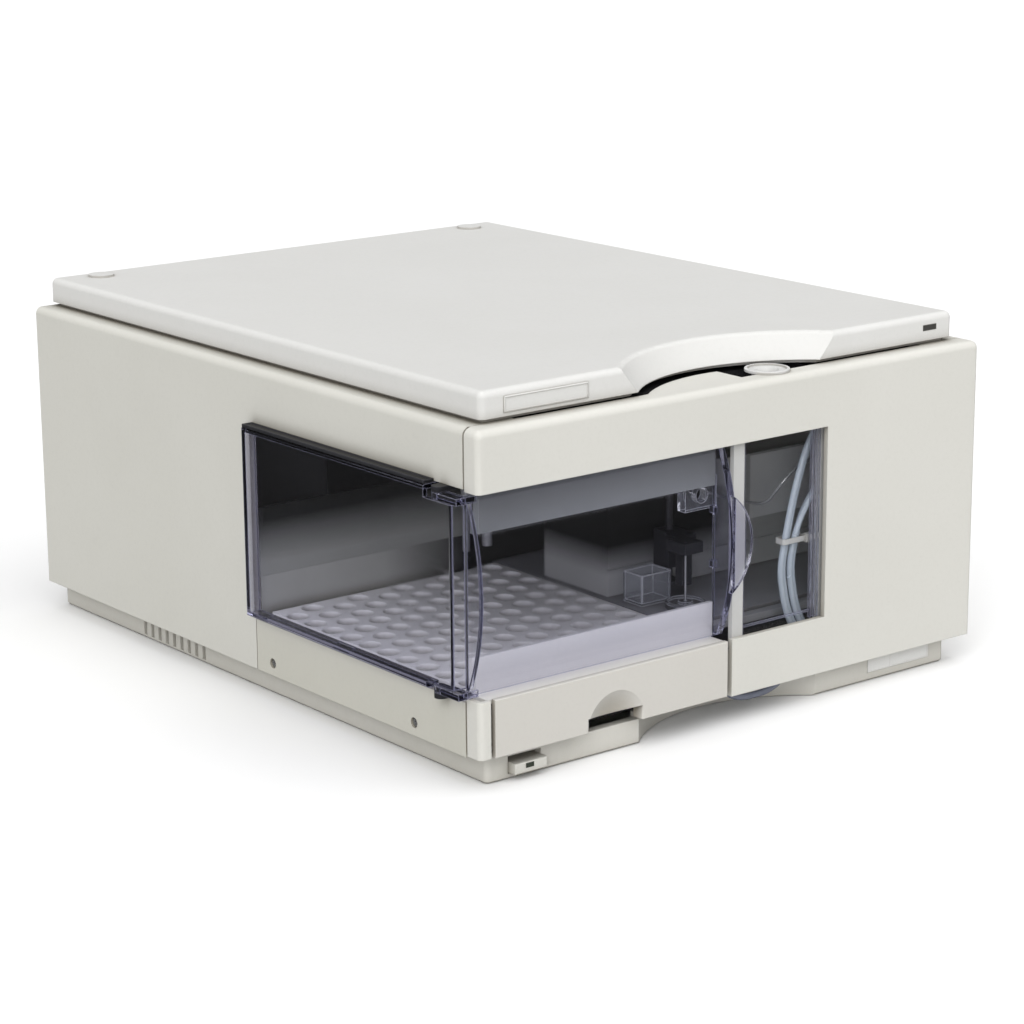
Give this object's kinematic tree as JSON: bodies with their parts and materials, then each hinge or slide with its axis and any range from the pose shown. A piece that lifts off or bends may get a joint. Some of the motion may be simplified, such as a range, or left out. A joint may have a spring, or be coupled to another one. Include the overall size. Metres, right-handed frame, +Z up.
{
  "type": "autosampler",
  "caption": "Bench autosampler module with a bulged clear front door, a proud side window, a vial tray, a swinging gripper arm, a needle unit and a curved finger cut-out in its top cover.",
  "frame": {"origin": "centre of the flat underside of the plinth, midway between the side covers and midway between the front cover's face and the covers' rear edge", "axes": "+Z up, +X to the right seen from the front, the front faces -Y"},
  "size_m": [0.3523, 0.435, 0.2],
  "materials": {
    "base_plastic": "fine texture",
    "foot_rubber": "matte",
    "button_plastic": "satin",
    "button_lens": "gloss",
    "black_plastic": "satin",
    "sheet_steel": "brushed",
    "strip_plastic": "fine texture",
    "screw_steel": "satin",
    "cover_plastic": "fine texture",
    "front_plastic": "fine texture",
    "top_plastic": "fine texture",
    "white_plastic": "satin",
    "lamp_lens": "gloss",
    "door_plastic": "clear",
    "window_plastic": "clear",
    "pane_plastic": "clear",
    "hinge_plastic": "satin",
    "foam": "matte",
    "tray_plastic": "satin",
    "guard_plastic": "satin",
    "wall_plastic": "satin",
    "partition_metal": "satin",
    "beam_plastic": "satin",
    "pan_plastic": "satin",
    "unit_metal": "satin",
    "label_paper": "matte",
    "seat_plastic": "clear",
    "column_metal": "satin",
    "carrier_plastic": "satin",
    "needle_steel": "satin",
    "cup_plastic": "clear",
    "flap_plastic": "clear",
    "rod_steel": "polished",
    "tube_plastic": "translucent",
    "tie_plastic": "satin",
    "drain_plastic": "translucent",
    "frame_metal": "satin",
    "arm_metal": "satin",
    "panel_steel": "satin",
    "connector_plastic": "satin",
    "board": "satin"
  },
  "bodies": {
    "housing": {"base_tray": "base_plastic", "rubber_feet": "foot_rubber", "power_switch": "black_plastic", "chassis_deck": "sheet_steel", "lower_side_strip": "strip_plastic", "cover_screws": "screw_steel", "left_side_cover": "cover_plastic", "right_side_cover": "cover_plastic", "front_cover": "front_plastic", "leak_funnel": "white_plastic", "lower_front_panel": "front_plastic", "top_cover": "top_plastic", "status_lamp": "lamp_lens", "hinge_brackets": "hinge_plastic", "side_window": "window_plastic", "window_strip": "white_plastic", "right_pane": "pane_plastic", "lower_foam": "foam", "upper_foam": "foam", "sample_tray": "tray_plastic", "tray_front_guard": "guard_plastic", "tray_back_wall": "wall_plastic", "rear_partition": "partition_metal", "upper_beam": "beam_plastic", "leak_pan": "pan_plastic", "sampling_unit": "unit_metal", "wall_label": "label_paper", "needle_seat": "seat_plastic", "needle_column": "column_metal", "rinse_cup": "cup_plastic", "safety_flap": "flap_plastic", "metering_body": "column_metal", "valve_body": "rod_steel", "tube_bundle": "tube_plastic", "cable_tie": "tie_plastic", "steel_capillary": "needle_steel", "drain_tube": "drain_plastic", "transport_frame": "frame_metal", "x_rails": "rod_steel", "x_motor": "black_plastic", "power_supply": "sheet_steel", "rear_panel": "panel_steel", "rear_connectors": "connector_plastic", "main_board": "board", "fan_frame": "black_plastic"},
    "door": {"front_door": "door_plastic"},
    "button": {"power_button": "button_plastic", "button_light": "button_lens"},
    "carriage": {"x_carriage": "black_plastic", "z_guide_rods": "rod_steel"},
    "lift": {"z_slider": "carrier_plastic"},
    "arm": {"gripper_arm": "arm_metal"},
    "left_finger": {"gripper_finger_left": "arm_metal"},
    "right_finger": {"gripper_finger_right": "arm_metal"},
    "needle_lift": {"needle_carrier": "carrier_plastic", "needle": "needle_steel"},
    "plunger": {"metering_plunger": "rod_steel"},
    "valve_disc": {"valve_rotor": "black_plastic"},
    "fan": {"fan_rotor": "black_plastic"},
    "leadscrew": {"x_leadscrew": "rod_steel"}
  },
  "joints": [
    {"name": "door_hinge", "type": "hinge", "parent": "housing", "child": "door", "pos_m": [-0.1763, -0.186, 0.098], "axis": [0, 0, -1], "range_deg": [0, 110]},
    {"name": "button_press", "type": "slide", "parent": "housing", "child": "button", "axis": [0, 1, 0], "range_m": [0, 0.003], "stiffness_N_per_m": 300, "springref_m": -0.0005},
    {"name": "carriage_slide", "type": "slide", "parent": "housing", "child": "carriage", "axis": [1, 0, 0], "range_m": [-0.1278, 0]},
    {"name": "lift_slide", "type": "slide", "parent": "carriage", "child": "lift", "axis": [0, 0, 1], "range_m": [-0.06, 0]},
    {"name": "arm_swing", "type": "hinge", "parent": "lift", "child": "arm", "pos_m": [-0.03, -0.036, 0.13], "axis": [0, 0, -1], "range_deg": [0, 90]},
    {"name": "left_finger_close", "type": "slide", "parent": "arm", "child": "left_finger", "axis": [0, -1, 0], "range_m": [0, 0.0015]},
    {"name": "right_finger_close", "type": "slide", "parent": "arm", "child": "right_finger", "axis": [0, 1, 0], "range_m": [0, 0.0015]},
    {"name": "needle_lift_slide", "type": "slide", "parent": "housing", "child": "needle_lift", "axis": [0, 0, 1], "range_m": [0, 0.022]},
    {"name": "plunger_slide", "type": "slide", "parent": "housing", "child": "plunger", "axis": [0, 0, 1], "range_m": [0, 0.02]},
    {"name": "valve_turn", "type": "hinge", "parent": "housing", "child": "valve_disc", "pos_m": [0.155, -0.142, 0.098], "axis": [0, -1, 0], "range_deg": [0, 60]},
    {"name": "fan_spin", "type": "hinge", "parent": "housing", "child": "fan", "pos_m": [-0.095, 0.1984, 0.12], "axis": [0, 1, 0], "continuous": true},
    {"name": "leadscrew_turn", "type": "hinge", "parent": "housing", "child": "leadscrew", "pos_m": [0, 0.019, 0.16], "axis": [1, 0, 0], "continuous": true}
  ],
  "couplings": [
    {"joint": "right_finger_close", "follows": "left_finger_close", "ratio": 1},
    {"joint": "leadscrew_turn", "follows": "carriage_slide", "rad_per_m": 157.08}
  ]
}
